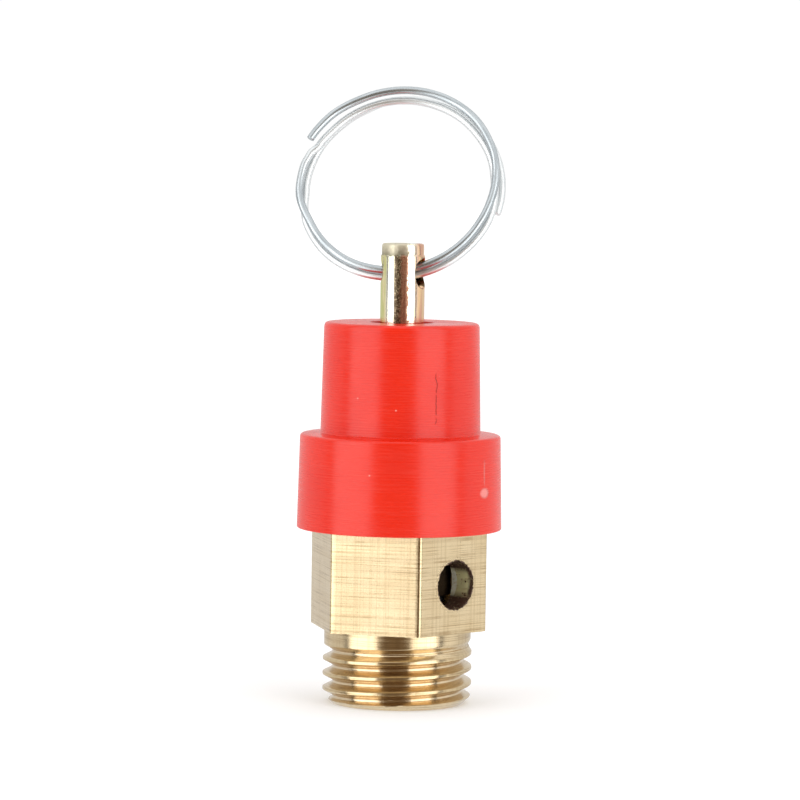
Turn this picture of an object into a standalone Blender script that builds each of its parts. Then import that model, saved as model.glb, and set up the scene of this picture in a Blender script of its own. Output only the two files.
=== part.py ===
"""Pull-ring pressure relief valve with a male G1/4 thread.

The valve stands upright on its threaded end. The origin is the centre of that end's face, +Z runs
up the stem and -Y is the front. All dimensions below are in millimetres and degrees. An azimuth is
measured about +Z from the front (-Y) towards +X.
"""

import math

import bmesh
import bpy
from mathutils import Matrix, Vector

MM = 0.001                      # metres in a millimetre
GAP = 0.3                       # clearance left between faces that touch
ROUND = 40                      # sides of the large turned pieces
FINE = 24                       # sides of the small turned pieces
WIRE_FACETS = 32                # straight runs in a turn of the ring, and half as many in the spring

# Male pipe thread G1/4
THREAD_MAJOR_R = 6.578
THREAD_MINOR_R = 5.722
THREAD_PITCH = 1.337
THREAD_TOP = 5.5                # the threads end here
THREAD_CREST = 0.25             # width of the flat crest
THREAD_ROOT = 0.2               # width of the groove's floor
THREAD_FACETS = 36              # steps in a turn of the thread
THREAD_PHASE = 0.52             # height of a crest on the +X side
END_CHAMFER = 0.75
SHANK_R = 6.475                 # plain run-out under the hexagon
SHANK_FILLET = 0.15             # it widens by this much into the hexagon
SHANK_FILLET_HEIGHT = 0.3

# Hexagon and discharge holes
HEX_BOTTOM = 6.65
HEX_TOP = 17.3
HEX_FLATS = 14.0                # across flats
HEX_AZIMUTH = 43.5              # of the face with the discharge hole
HEX_EDGE = 0.22                 # bevel on the hexagon's upright edges
HOLE_R = 2.125
HOLE_Z = 10.9

# Inside of the body
INLET_R = 3.25
SEAT_R = 4.05                   # outer radius of the raised seat
SEAT_Z = 8.8
FLOOR_Z = 8.0
CHAMBER_R = 5.0

# Neck inside the cap
NECK_R = 7.3
NECK_STEP_Z = 22.7
NECK_TOP_R = 5.85
NECK_TOP = 28.0
GROOVE_R = 6.95
GROOVE_Z = (19.4, 21.1)

# Cap
CAP_BOTTOM = 15.43
CAP_COLLAR_R = 9.02
CAP_COLLAR_TOP_R = 8.83
CAP_SHOULDER = 23.85
CAP_SHOULDER_DROP = 0.15
CAP_UPPER_R = 7.05
CAP_UPPER_TOP_R = 6.83
CAP_TOP = 33.56
CAP_HOLE_R = 2.8
CAP_ROOF = 1.16
CAP_EDGE = 0.6                  # rounding of the top edge
COLLAR_EDGE = 0.5               # rounding of the collar's top edge

# Moving pieces
SEAL_R = 4.1
SEAL_THICKNESS = 1.5
HOLDER_R = 4.65
HOLDER_FACE = 13.3              # the spring stands on this face
HOLDER_BOSS_TOP = 14.8
STEM_R = 1.95
STEM_TIP_R = 1.86               # last millimetre, slightly thinner
STEM_TOP = 40.5
STEM_NECK_R = 1.5
STEM_FOOT = 10.95
STEM_GROOVE_R = 1.1
STEM_GROOVE = (11.15, 11.95)
EYE_R = 1.2                     # cross hole for the ring
EYE_Z = 38.0
EYE_AZIMUTH = 77.0
CLIP_R = 2.8
CLIP_THICKNESS = 0.5

# Spring, its upper seat and the adjusting screw
SPRING_WIRE = 1.0
SPRING_MEAN_R = 3.8
SPRING_TOP = 23.4
SPRING_COILS = 6.5
SPRING_END_COILS = 0.9          # closed coils at each end
SPRING_SEAT_R = 4.6
SPRING_SEAT_BOSS_R = 2.9
SPRING_SEAT_TOP = 24.9
SCREW_R = 4.75
SCREW_TOP = 31.4
SCREW_BORE_R = 2.35
SLOT = 1.2                      # width and depth of the slots in the screw and the nut
NUT_HEIGHT = 2.0

# Pull ring: a wire of about two and a half turns
RING_WIRE = 0.66
RING_PITCH = 0.74               # from one turn to the next, across the ring
RING_CENTRE = (-1.05, 8.45)     # along the hinge axis and up the ring's plane
RING_LEAN = 25.3                # the ring leans back from the upright
RING_AZIMUTH = 80.5             # of the hinge axis
RING_START = 155.0              # angle of the first wire end
# How the wire lies: degrees along the wire from its first end, and its radius there
RING_LAY = (
    (0, 9.20), (100, 9.20), (185, 8.46), (345, 8.50), (375, 8.12), (410, 8.15), (455, 8.32),
    (505, 8.50), (540, 9.00), (610, 8.84), (680, 8.95), (775, 9.25), (835, 9.00), (890, 9.18),
)


def direction(azimuth):
    """Unit vector in the horizontal plane at an azimuth in degrees."""
    angle = math.radians(azimuth)
    return Vector((math.sin(angle), -math.cos(angle), 0.0))


def clear_scene():
    for item in list(bpy.data.objects):
        bpy.data.objects.remove(item, do_unlink=True)


def make_collection(name):
    collection = bpy.data.collections.new(name)
    bpy.context.scene.collection.children.link(collection)
    return collection


def make_material(name, colour, roughness, metallic):
    material = bpy.data.materials.new(name)
    material.use_nodes = True
    shader = material.node_tree.nodes["Principled BSDF"]
    shader.inputs["Base Color"].default_value = (*colour, 1.0)
    shader.inputs["Roughness"].default_value = roughness
    shader.inputs["Metallic"].default_value = metallic
    material.diffuse_color = (*colour, 1.0)
    return material


def add_object(name, data, collection, material=None):
    item = bpy.data.objects.new(name, data)
    collection.objects.link(item)
    if material:
        data.materials.append(material)
    return item


def turned(name, outline, collection, material=None, sides=ROUND):
    """A solid of revolution about Z.

    The outline is (radius, height) points in millimetres that run down the outer side. It closes on
    itself when it stays off the axis, and ends on the axis at both ends otherwise.
    """
    points = [(radius * MM, 0.0, height * MM) for radius, height in outline]
    edges = [(i, i + 1) for i in range(len(points) - 1)]
    if outline[0][0] > 0:
        edges.append((len(points) - 1, 0))
    mesh = bpy.data.meshes.new(name)
    mesh.from_pydata(points, edges, [])
    item = add_object(name, mesh, collection, material)
    screw = item.modifiers.new("turn", "SCREW")
    screw.axis = "Z"
    screw.steps = sides
    screw.render_steps = sides
    screw.use_merge_vertices = True
    screw.merge_threshold = 0.000001
    return item


def rounded_corner(centre, radius, start, end, steps=4):
    """Points of an arc in an outline, at angles in degrees from the radial direction."""
    points = []
    for i in range(steps + 1):
        angle = math.radians(start + (end - start) * i / steps)
        points.append((centre[0] + radius * math.cos(angle), centre[1] + radius * math.sin(angle)))
    return points


def as_cutter(item):
    item.hide_render = True
    item.display_type = "WIRE"
    return item


def boolean(item, other, operation):
    modifier = item.modifiers.new(other.name, "BOOLEAN")
    modifier.operation = operation
    modifier.solver = "EXACT"
    modifier.object = as_cutter(other)


def bake(item, sharp=35.0):
    """Replace an object's modifiers by their result, welded and shaded smooth."""
    bpy.context.view_layer.update()
    evaluated = item.evaluated_get(bpy.context.evaluated_depsgraph_get())
    mesh = bpy.data.meshes.new_from_object(evaluated)
    mesh.name = item.name
    item.modifiers.clear()
    item.data = mesh
    shape = bmesh.new()
    shape.from_mesh(mesh)
    bmesh.ops.remove_doubles(shape, verts=shape.verts, dist=0.000002)
    bmesh.ops.dissolve_degenerate(shape, edges=shape.edges, dist=0.000002)
    shape.to_mesh(mesh)
    shape.free()
    mesh.shade_smooth()
    mesh.set_sharp_from_angle(angle=math.radians(sharp))
    return item


def cross_bar(name, radius, height, azimuth, collection):
    """A horizontal round cutter through the axis."""
    bpy.ops.mesh.primitive_cylinder_add(vertices=FINE, radius=radius * MM, depth=24 * MM)
    item = bpy.context.object
    item.name = name
    aim = direction(azimuth).to_track_quat("Z", "Y").to_matrix().to_4x4()
    item.matrix_world = Matrix.Translation((0, 0, height * MM)) @ aim
    for owner in list(item.users_collection):
        owner.objects.unlink(item)
    collection.objects.link(item)
    return item


def block(name, size, centre, collection):
    """A box cutter, its size and centre in millimetres."""
    bpy.ops.mesh.primitive_cube_add(size=1.0)
    item = bpy.context.object
    item.name = name
    item.data.transform(Matrix.Diagonal((*[length * MM for length in size], 1.0)))
    item.location = [place * MM for place in centre]
    for owner in list(item.users_collection):
        owner.objects.unlink(item)
    collection.objects.link(item)
    return item


def thread_groove(collection):
    """The helical groove of the pipe thread, as a cutter with closed ends."""
    half_root = THREAD_ROOT / 2
    flank = (THREAD_PITCH - THREAD_CREST - THREAD_ROOT) / 2
    slope = flank / (THREAD_MAJOR_R - THREAD_MINOR_R)
    outside = THREAD_MAJOR_R + 0.15
    half_mouth = half_root + slope * (outside - THREAD_MINOR_R)
    start = THREAD_PHASE - 1.5 * THREAD_PITCH
    turns = math.floor((THREAD_TOP - start) / THREAD_PITCH)
    profile = (
        (outside, half_mouth), (outside, -half_mouth),
        (THREAD_MINOR_R, -half_root), (THREAD_MINOR_R, half_root),
    )
    mesh = bpy.data.meshes.new("thread_groove")
    points = [(radius * MM, 0.0, (start + rise) * MM) for radius, rise in profile]
    mesh.from_pydata(points, [(i, (i + 1) % len(points)) for i in range(len(points))], [])
    item = add_object("thread_groove", mesh, collection)
    screw = item.modifiers.new("helix", "SCREW")
    screw.axis = "Z"
    screw.screw_offset = THREAD_PITCH * MM
    screw.iterations = turns
    screw.steps = THREAD_FACETS
    screw.render_steps = THREAD_FACETS
    bake(item)
    shape = bmesh.new()
    shape.from_mesh(item.data)
    rims = [edge for edge in shape.edges if edge.is_boundary]
    bmesh.ops.holes_fill(shape, edges=rims, sides=len(profile))
    bmesh.ops.recalc_face_normals(shape, faces=shape.faces)
    shape.to_mesh(item.data)
    shape.free()
    return item


def hexagon(collection):
    """The hexagon, with bevelled upright edges."""
    corner_r = HEX_FLATS / 2 / math.cos(math.radians(30))
    height = HEX_TOP - HEX_BOTTOM
    bpy.ops.mesh.primitive_cylinder_add(vertices=6, radius=corner_r * MM, depth=height * MM)
    item = bpy.context.object
    item.name = "hexagon"
    face = direction(HEX_AZIMUTH)
    turn = math.atan2(face.y, face.x) + math.radians(30)
    first = item.data.vertices[0].co
    item.data.transform(Matrix.Rotation(turn - math.atan2(first.y, first.x), 4, "Z"))
    item.data.transform(Matrix.Translation((0, 0, (HEX_BOTTOM + height / 2) * MM)))
    shape = bmesh.new()
    shape.from_mesh(item.data)
    upright = [edge for edge in shape.edges if abs(edge.verts[0].co.z - edge.verts[1].co.z) > MM]
    bmesh.ops.bevel(shape, geom=upright, offset=HEX_EDGE * MM, segments=1, affect="EDGES")
    shape.to_mesh(item.data)
    shape.free()
    for owner in list(item.users_collection):
        owner.objects.unlink(item)
    collection.objects.link(item)
    return item


def valve_body(parts, cutters, brass):
    hexagon_foot_r = SHANK_R + SHANK_FILLET
    blank = [
        (0, NECK_TOP), (NECK_TOP_R, NECK_TOP), (NECK_TOP_R, NECK_STEP_Z), (NECK_R, NECK_STEP_Z),
        (NECK_R, GROOVE_Z[1]), (GROOVE_R, GROOVE_Z[1]), (GROOVE_R, GROOVE_Z[0]),
        (NECK_R, GROOVE_Z[0]), (NECK_R, HEX_TOP - 1), (hexagon_foot_r, HEX_TOP - 1),
        (hexagon_foot_r, HEX_BOTTOM), (SHANK_R, HEX_BOTTOM - SHANK_FILLET_HEIGHT),
        (SHANK_R, THREAD_TOP), (THREAD_MAJOR_R, THREAD_TOP), (THREAD_MAJOR_R, END_CHAMFER),
        (THREAD_MAJOR_R - END_CHAMFER, 0), (0, 0),
    ]
    body = turned("valve_body", blank, parts, brass)
    boolean(body, thread_groove(cutters), "DIFFERENCE")
    boolean(body, hexagon(cutters), "UNION")
    bore = [
        (0, NECK_TOP + 1), (CHAMBER_R, NECK_TOP + 1), (CHAMBER_R, FLOOR_Z), (SEAT_R, FLOOR_Z),
        (SEAT_R, SEAT_Z), (INLET_R, SEAT_Z), (INLET_R, 0.4), (INLET_R + 1.4, -1), (0, -1),
    ]
    boolean(body, turned("bore", bore, cutters), "DIFFERENCE")
    hole = cross_bar("discharge_bar", HOLE_R, HOLE_Z, HEX_AZIMUTH, cutters)
    boolean(body, hole, "DIFFERENCE")
    bake(body, 25.0)


def red_cap(parts, plastic):
    collar_inner = 8.3
    neck_inner = NECK_R + 0.25
    upper_inner = NECK_TOP_R + 0.25
    rib = neck_inner - 0.3
    ceiling = NECK_STEP_Z + GAP
    roof = CAP_TOP - CAP_ROOF
    outline = [(CAP_HOLE_R, CAP_TOP)]
    outline += rounded_corner(
        (CAP_UPPER_TOP_R - CAP_EDGE, CAP_TOP - CAP_EDGE), CAP_EDGE, 90, 0)
    outline.append((CAP_UPPER_R, CAP_SHOULDER))
    outline += rounded_corner(
        (CAP_COLLAR_TOP_R - COLLAR_EDGE, CAP_SHOULDER - CAP_SHOULDER_DROP - COLLAR_EDGE),
        COLLAR_EDGE, 90, 0)
    outline += [
        (CAP_COLLAR_R, CAP_BOTTOM), (collar_inner, CAP_BOTTOM), (collar_inner, HEX_TOP + GAP),
        (neck_inner, HEX_TOP + 0.8), (neck_inner, GROOVE_Z[0] + GAP), (rib, GROOVE_Z[0] + 0.6),
        (rib, GROOVE_Z[1] - 0.6), (neck_inner, GROOVE_Z[1] - GAP), (neck_inner, ceiling),
        (upper_inner, ceiling), (upper_inner, roof), (CAP_HOLE_R, roof),
    ]
    bake(turned("red_cap", outline, parts, plastic))


def disc_holder(parts, brass):
    recess_r = SEAL_R + 0.2
    recess_top = SEAT_Z + GAP + SEAL_THICKNESS + GAP
    clip_room_r = CLIP_R + 0.4
    clip_room_top = STEM_GROOVE[1] + 0.15
    shaft_r = STEM_NECK_R + 0.2
    lip = 9.7
    outline = [
        (shaft_r, HOLDER_BOSS_TOP), (SPRING_SEAT_BOSS_R, HOLDER_BOSS_TOP),
        (SPRING_SEAT_BOSS_R, HOLDER_FACE), (HOLDER_R, HOLDER_FACE), (HOLDER_R, lip),
        (recess_r, lip), (recess_r, recess_top), (clip_room_r, recess_top),
        (clip_room_r, clip_room_top), (shaft_r, clip_room_top),
    ]
    bake(turned("disc_holder", outline, parts, brass, FINE))


def seal_disc(parts, rubber):
    low = SEAT_Z + GAP
    high = low + SEAL_THICKNESS
    outline = [
        (0, high), (SEAL_R - 0.1, high), (SEAL_R, high - 0.1), (SEAL_R, low + 0.1),
        (SEAL_R - 0.1, low), (0, low),
    ]
    bake(turned("seal_disc", outline, parts, rubber, FINE))


def stem(parts, cutters, zinc):
    shoulder = HOLDER_BOSS_TOP + GAP
    outline = [(0, STEM_TOP)]
    outline += rounded_corner((STEM_TIP_R - 0.2, STEM_TOP - 0.2), 0.2, 90, 0, 3)
    outline += [
        (STEM_TIP_R, STEM_TOP - 1.0), (STEM_R, STEM_TOP - 1.1), (STEM_R, shoulder),
        (STEM_NECK_R, shoulder), (STEM_NECK_R, STEM_GROOVE[1]), (STEM_GROOVE_R, STEM_GROOVE[1]),
        (STEM_GROOVE_R, STEM_GROOVE[0]), (STEM_NECK_R, STEM_GROOVE[0]),
        (STEM_NECK_R, STEM_FOOT), (0, STEM_FOOT),
    ]
    rod = turned("stem", outline, parts, zinc, FINE)
    boolean(rod, cross_bar("eye_bar", EYE_R, EYE_Z, EYE_AZIMUTH, cutters), "DIFFERENCE")
    bake(rod, 30.0)


def stem_clip(parts, cutters, steel):
    inner = STEM_GROOVE_R + 0.2
    low = (STEM_GROOVE[0] + STEM_GROOVE[1] - CLIP_THICKNESS) / 2
    high = low + CLIP_THICKNESS
    outline = [(inner, high), (CLIP_R, high), (CLIP_R, low), (inner, low)]
    clip = turned("stem_clip", outline, parts, steel, FINE)
    mouth = 2 * inner * 0.8
    reach = 2 * CLIP_R
    cutter = block("clip_mouth", (mouth, reach, 2), (0, reach / 2, low), cutters)
    boolean(clip, cutter, "DIFFERENCE")
    bake(clip)


def spring_points():
    """Centre line of the compression spring, with closed coils at both ends."""
    low = HOLDER_FACE + GAP + SPRING_WIRE / 2
    high = SPRING_TOP - SPRING_WIRE / 2
    closed = SPRING_END_COILS * SPRING_WIRE * 1.06
    open_coils = SPRING_COILS - 2 * SPRING_END_COILS
    open_height = high - low - 2 * closed
    facets = WIRE_FACETS // 2
    points = []
    for i in range(int(SPRING_COILS * facets) + 1):
        turn = i / facets
        if turn < SPRING_END_COILS:
            height = closed * turn / SPRING_END_COILS
        elif turn < SPRING_COILS - SPRING_END_COILS:
            height = closed + open_height * (turn - SPRING_END_COILS) / open_coils
        else:
            height = high - low - closed * (SPRING_COILS - turn) / SPRING_END_COILS
        angle = 2 * math.pi * turn
        points.append(Vector((
            SPRING_MEAN_R * math.cos(angle), SPRING_MEAN_R * math.sin(angle), low + height)))
    return points


def ring_radius(along):
    """Radius of the ring's wire at an angle in degrees along it, eased between the set points."""
    for (angle_a, radius_a), (angle_b, radius_b) in zip(RING_LAY, RING_LAY[1:]):
        if along <= angle_b:
            step = (along - angle_a) / (angle_b - angle_a)
            return radius_a + (radius_b - radius_a) * step * step * (3 - 2 * step)
    return RING_LAY[-1][1]


def ring_points():
    """Centre line of the split ring, at its lean, about the stem's cross hole."""
    across = direction(RING_AZIMUTH)
    back = direction(RING_AZIMUTH + 90)
    lean = math.radians(RING_LEAN)
    upward = Vector((0, 0, math.cos(lean))) + back * math.sin(lean)
    forward = upward.cross(across).normalized()
    if forward.y > 0:
        forward = -forward
    length = RING_LAY[-1][0]
    count = round(length / 360 * WIRE_FACETS)
    # The two strands in the cross hole lie equally far in front of and behind its axis
    hole_strand = (RING_START + 90) / 360 + 0.5
    points = []
    for i in range(count + 1):
        along = length * i / count
        angle = math.radians(RING_START - along)
        radius = ring_radius(along)
        sideways = RING_CENTRE[0] + radius * math.cos(angle)
        height = RING_CENTRE[1] + radius * math.sin(angle)
        depth = RING_PITCH * (hole_strand - along / 360)
        points.append(across * sideways + upward * height + forward * depth)
    return points


def wire(name, points, diameter, place, collection, material):
    """A bent round wire as a curve with filled ends, its points relative to its place."""
    curve = bpy.data.curves.new(name, "CURVE")
    curve.dimensions = "3D"
    curve.bevel_depth = diameter / 2 * MM
    curve.bevel_resolution = 2
    curve.use_fill_caps = True
    spline = curve.splines.new("POLY")
    spline.points.add(len(points) - 1)
    for point, target in zip(spline.points, points):
        point.co = (*(target * MM), 1.0)
    spline.use_smooth = True
    item = add_object(name, curve, collection, material)
    item.location = [coordinate * MM for coordinate in place]
    return item


def upper_spring_seat(parts, steel):
    bore = SCREW_BORE_R
    flange = SPRING_TOP + GAP
    boss_foot = flange - 1.1
    outline = [
        (bore, SPRING_SEAT_TOP), (SPRING_SEAT_R, SPRING_SEAT_TOP), (SPRING_SEAT_R, flange),
        (SPRING_SEAT_BOSS_R, flange), (SPRING_SEAT_BOSS_R, boss_foot), (bore, boss_foot),
    ]
    bake(turned("upper_spring_seat", outline, parts, steel, FINE))


def adjusting_screw(parts, cutters, brass):
    foot = SPRING_SEAT_TOP + GAP
    chamfer = 0.3
    outline = [
        (SCREW_BORE_R, SCREW_TOP), (SCREW_R - chamfer, SCREW_TOP), (SCREW_R, SCREW_TOP - chamfer),
        (SCREW_R, foot + chamfer), (SCREW_R - chamfer, foot), (SCREW_BORE_R, foot),
    ]
    screw = turned("adjusting_screw", outline, parts, brass, FINE)
    slot = block("screw_slot", (SLOT, 12, 2 * SLOT), (0, 0, SCREW_TOP), cutters)
    boolean(screw, slot, "DIFFERENCE")
    bake(screw)


def lock_nut(parts, cutters, brass):
    low = NECK_TOP + GAP
    high = low + NUT_HEIGHT
    inner = SCREW_R + 0.25
    chamfer = 0.2
    outline = [
        (inner, high), (NECK_TOP_R - chamfer, high), (NECK_TOP_R, high - chamfer),
        (NECK_TOP_R, low), (inner, low),
    ]
    nut = turned("lock_nut", outline, parts, brass, FINE)
    for name, size in (("nut_slot_x", (14, SLOT)), ("nut_slot_y", (SLOT, 14))):
        slot = block(name, (*size, SLOT), (0, 0, high), cutters)
        boolean(nut, slot, "DIFFERENCE")
    bake(nut)


def main():
    clear_scene()
    parts = make_collection("pressure_relief_valve")
    cutters = make_collection("cutters")
    brass = make_material("brass", (0.78, 0.60, 0.32), 0.28, 1.0)
    inner_brass = make_material("inner_brass", (0.72, 0.54, 0.28), 0.35, 1.0)
    plastic = make_material("red_plastic", (0.80, 0.03, 0.02), 0.35, 0.0)
    zinc = make_material("yellow_zinc", (0.72, 0.62, 0.38), 0.25, 1.0)
    steel = make_material("spring_steel", (0.55, 0.55, 0.56), 0.35, 1.0)
    bright = make_material("bright_steel", (0.80, 0.81, 0.82), 0.18, 1.0)
    rubber = make_material("black_rubber", (0.02, 0.02, 0.02), 0.75, 0.0)

    valve_body(parts, cutters, brass)
    red_cap(parts, plastic)
    disc_holder(parts, inner_brass)
    seal_disc(parts, rubber)
    stem(parts, cutters, zinc)
    stem_clip(parts, cutters, steel)
    wire("pressure_spring", spring_points(), SPRING_WIRE, (0, 0, 0), parts, steel)
    upper_spring_seat(parts, steel)
    adjusting_screw(parts, cutters, inner_brass)
    lock_nut(parts, cutters, inner_brass)
    wire("pull_ring", ring_points(), RING_WIRE, (0, 0, EYE_Z), parts, bright)


main()
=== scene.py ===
"""Looks of the pull-ring pressure relief valve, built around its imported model.

Lengths in the constants are in millimetres and angles in degrees. An azimuth is measured about +Z
from the front (-Y) towards +X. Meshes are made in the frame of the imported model.
"""

import math

import bmesh
import bpy
from mathutils import Matrix, Quaternion, Vector, noise
from mathutils.kdtree import KDTree


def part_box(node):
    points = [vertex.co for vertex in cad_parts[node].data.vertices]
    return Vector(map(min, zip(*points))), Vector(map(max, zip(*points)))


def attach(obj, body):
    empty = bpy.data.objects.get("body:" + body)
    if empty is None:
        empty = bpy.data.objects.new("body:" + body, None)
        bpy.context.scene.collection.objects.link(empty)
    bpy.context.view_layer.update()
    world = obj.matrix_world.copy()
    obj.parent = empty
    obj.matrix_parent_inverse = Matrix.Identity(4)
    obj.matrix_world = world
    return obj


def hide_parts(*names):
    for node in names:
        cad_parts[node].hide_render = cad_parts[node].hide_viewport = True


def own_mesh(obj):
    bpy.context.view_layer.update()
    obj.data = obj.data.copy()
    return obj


MM = 0.001                      # metres in a millimetre

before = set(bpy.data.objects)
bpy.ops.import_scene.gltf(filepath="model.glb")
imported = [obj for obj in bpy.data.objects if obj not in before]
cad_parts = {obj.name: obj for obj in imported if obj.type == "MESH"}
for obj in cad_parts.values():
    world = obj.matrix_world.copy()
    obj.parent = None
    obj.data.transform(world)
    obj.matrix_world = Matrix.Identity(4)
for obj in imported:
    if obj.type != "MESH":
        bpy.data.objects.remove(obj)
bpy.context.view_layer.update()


def low(node):
    """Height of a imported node's lowest point, in millimetres."""
    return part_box(node)[0].z / MM


def high(node):
    """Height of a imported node's highest point, in millimetres."""
    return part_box(node)[1].z / MM


# Camera: its place, the height it aims at, its focal length and its roll
CAMERA_DISTANCE = 345.21
CAMERA_HEIGHT = 50.15
CAMERA_SIDE = -0.08             # it stands this far to the right of the valve's axis
CAMERA_AIM = 26.7
CAMERA_LENS = 177.0
CAMERA_ROLL = 0.85

# Body, thread and hexagon
THREAD_MAJOR_R = 6.578
THREAD_MINOR_R = 5.722
THREAD_PITCH = 1.337
GROOVE_RIGHT = 1.1885           # height of a groove's floor on the +X side
GROOVE_END = 1170.0             # azimuth along the groove where it ends
GROOVE_FADE = 200.0             # it gets shallower over this much of its end
GROOVE_LAST = 0.3               # depth left at its end, as a share
GROOVE_TAIL = 20.0              # and it closes over this much
THREAD_BLOCK = 6.5              # height of the helical part of the mesh
THREAD_ROWS = 22                # rows of the mesh in a pitch
THREAD_FLOOR = 0.11             # half the width of a groove's floor
THREAD_FLANK = 0.42             # width of each of its flanks
GROOVE_TORN = 50.0              # the cut is torn this far to each side of its end
END_CHAMFER = 0.75
SHANK_R = 6.475
HEX_BOTTOM = 6.65
HEX_TOP = 17.3
HEX_FLATS = 14.0
HEX_AZIMUTH = 43.5
HEX_EDGE = 0.22
HEX_RIM = 0.09                  # rounding along the lower and upper rims of the hexagon
BURR_AZIMUTH = HEX_AZIMUTH + 272.0  # by a corner of the hexagon, where its burr is largest
FLAT_COLUMNS = 36
EDGE_COLUMNS = 6
HOLE_R = 2.125
HOLE_Z = 10.95
HOLE_TURN = 2.0                 # the hole is drilled this far off the middle of its face
HOLE_AZIMUTH = HEX_AZIMUTH + HOLE_TURN
INLET_R = 3.25
SEAT_R = 4.05
SEAT_Z = 8.8
FLOOR_Z = 8.0
CHAMBER_R = 5.0
NECK_R = 7.3
NECK_STEP_Z = 22.7
NECK_TOP_R = 5.85
NECK_TOP = 28.0
NECK_GROOVE_R = 6.95
NECK_GROOVE_Z = (19.4, 21.1)

# Cap
CAP_BOTTOM = low("red_cap")
CAP_TOP = high("red_cap")
CAP_COLLAR_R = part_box("red_cap")[1].x / MM
CAP_COLLAR_TOP_R = CAP_COLLAR_R - 0.19
CAP_SHOULDER = 23.85
CAP_SHOULDER_DROP = 0.15
CAP_UPPER_R = 7.05
CAP_UPPER_TOP_R = 6.83
CAP_HOLE_R = 2.8
CAP_ROOF = 1.16
CAP_FIT = 0.25                  # room between the cap and the neck
CAP_COLLAR_INNER = 8.3
CAP_EDGE = 0.45
COLLAR_EDGE = 0.3
CAP_SIDES = 240
CRACK_X = 3.05                  # a hairline crack in the upper part: its place and its ends
CRACK_Z = (24.9, 29.6)
DRIP_AZIMUTH = 55.5             # a dried drop on the collar
DRIP_Z = 19.05
DRIP_TRAIL = (19.4, 22.2)       # the thin trail that it left above

# Stem
STEM_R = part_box("stem")[1].x / MM
STEM_TIP_R = 1.86
STEM_TOP = high("stem")
STEM_FOOT = low("stem")
STEM_NECK_R = 1.5
STEM_GROOVE_R = 1.1
STEM_GROOVE = (11.15, 11.95)
EYE_R = 1.2
EYE_Z = 38.0
EYE_AZIMUTH = 77.0
EYE_FLARE = 0.45                # the hole's mouth flares by this much more on one side
EYE_FLARE_TURN = 205.0          # that side, counted from the back over the top

# Pieces inside
GAP = 0.3
SEAL_R = 4.1
HOLDER_R = 4.65
HOLDER_FACE = 13.3
HOLDER_BOSS_TOP = high("disc_holder")
CLIP_R = 2.8
SPRING_WIRE = 1.0
SPRING_MEAN_R = 3.8
SPRING_COILS = 6.5
SPRING_END_COILS = 0.9
SPRING_SEAT_R = 4.6
BOSS_R = 2.9
SCREW_R = 4.75
SCREW_BORE_R = 2.35
SCREW_PITCH = 0.75
SCREW_THREAD = 0.35             # depth of its thread
SCREW_CHAMFER = 0.1
SCREW_BORE_CHAMFER = 0.15
SLOT = 1.2

# Pull ring
RING_WIRE = 0.70
RING_PITCH = 0.74
RING_CENTRE = (-1.05, 8.45)     # from the stem's cross hole, sideways and up the lean
RING_LEAN = 25.3                # it leans back from upright
RING_AZIMUTH = 80.5
RING_START = 155.0              # angle of the wire's first end about the ring's centre
# How the wire lies: degrees along the wire from its first end, and its radius there
RING_LAY = (
    (0, 9.08), (15, 9.02), (40, 8.82), (110, 8.88), (130, 8.80), (185, 8.48), (250, 8.50),
    (275, 8.58), (305, 8.58), (328, 8.92), (345, 8.84), (353, 8.68), (360, 8.30), (375, 8.17),
    (440, 8.16), (470, 8.25), (505, 8.45), (540, 8.87), (605, 8.84), (650, 8.97), (668, 8.92),
    (692, 8.47), (710, 8.40), (740, 8.31), (757, 8.38), (772, 8.57), (835, 8.90), (890, 9.11),
)


# ---------------------------------------------------------------- shapes


def direction(azimuth):
    """Unit vector in the horizontal plane at an azimuth in degrees."""
    angle = math.radians(azimuth)
    return Vector((math.sin(angle), -math.cos(angle), 0.0))


def ease(share):
    """Smooth step from 0 to 1."""
    share = min(max(share, 0.0), 1.0)
    return share * share * (3 - 2 * share)


def wander(x, y, z):
    """Smooth noise about zero at a point."""
    return noise.noise(Vector((x, y, z)))


def loft(name, rows, joined=True, helix=None):
    """A mesh over rows of points in millimetres, each row a closed loop.

    The last row joins the first unless joined is false. helix is (first row, last row, shift): at
    the seam those rows meet the rows that are shift further up.
    """
    count = len(rows[0])
    first, last, shift = helix or (0, 0, 0)
    faces = []
    for i in range(len(rows) if joined else len(rows) - 1):
        above = (i + 1) % len(rows)
        for j in range(count):
            k = (j + 1) % count
            step = shift if first <= i < last and k == 0 else 0
            if step and above + step > last:
                continue
            faces.append((
                i * count + j, (i + step) * count + k,
                (above + step) * count + k, above * count + j))
    mesh = bpy.data.meshes.new(name)
    mesh.from_pydata([Vector(point) * MM for row in rows for point in row], [], faces)
    shape = bmesh.new()
    shape.from_mesh(mesh)
    bmesh.ops.remove_doubles(shape, verts=shape.verts, dist=0.0000002)
    bmesh.ops.dissolve_degenerate(shape, edges=shape.edges, dist=0.0000002)
    bmesh.ops.recalc_face_normals(shape, faces=shape.faces)
    shape.to_mesh(mesh)
    shape.free()
    item = bpy.data.objects.new(name, mesh)
    bpy.context.scene.collection.objects.link(item)
    return item


def circle(radius, height, sides):
    """Points round the Z axis."""
    return [direction(360 * i / sides) * radius + Vector((0, 0, height)) for i in range(sides)]


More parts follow.
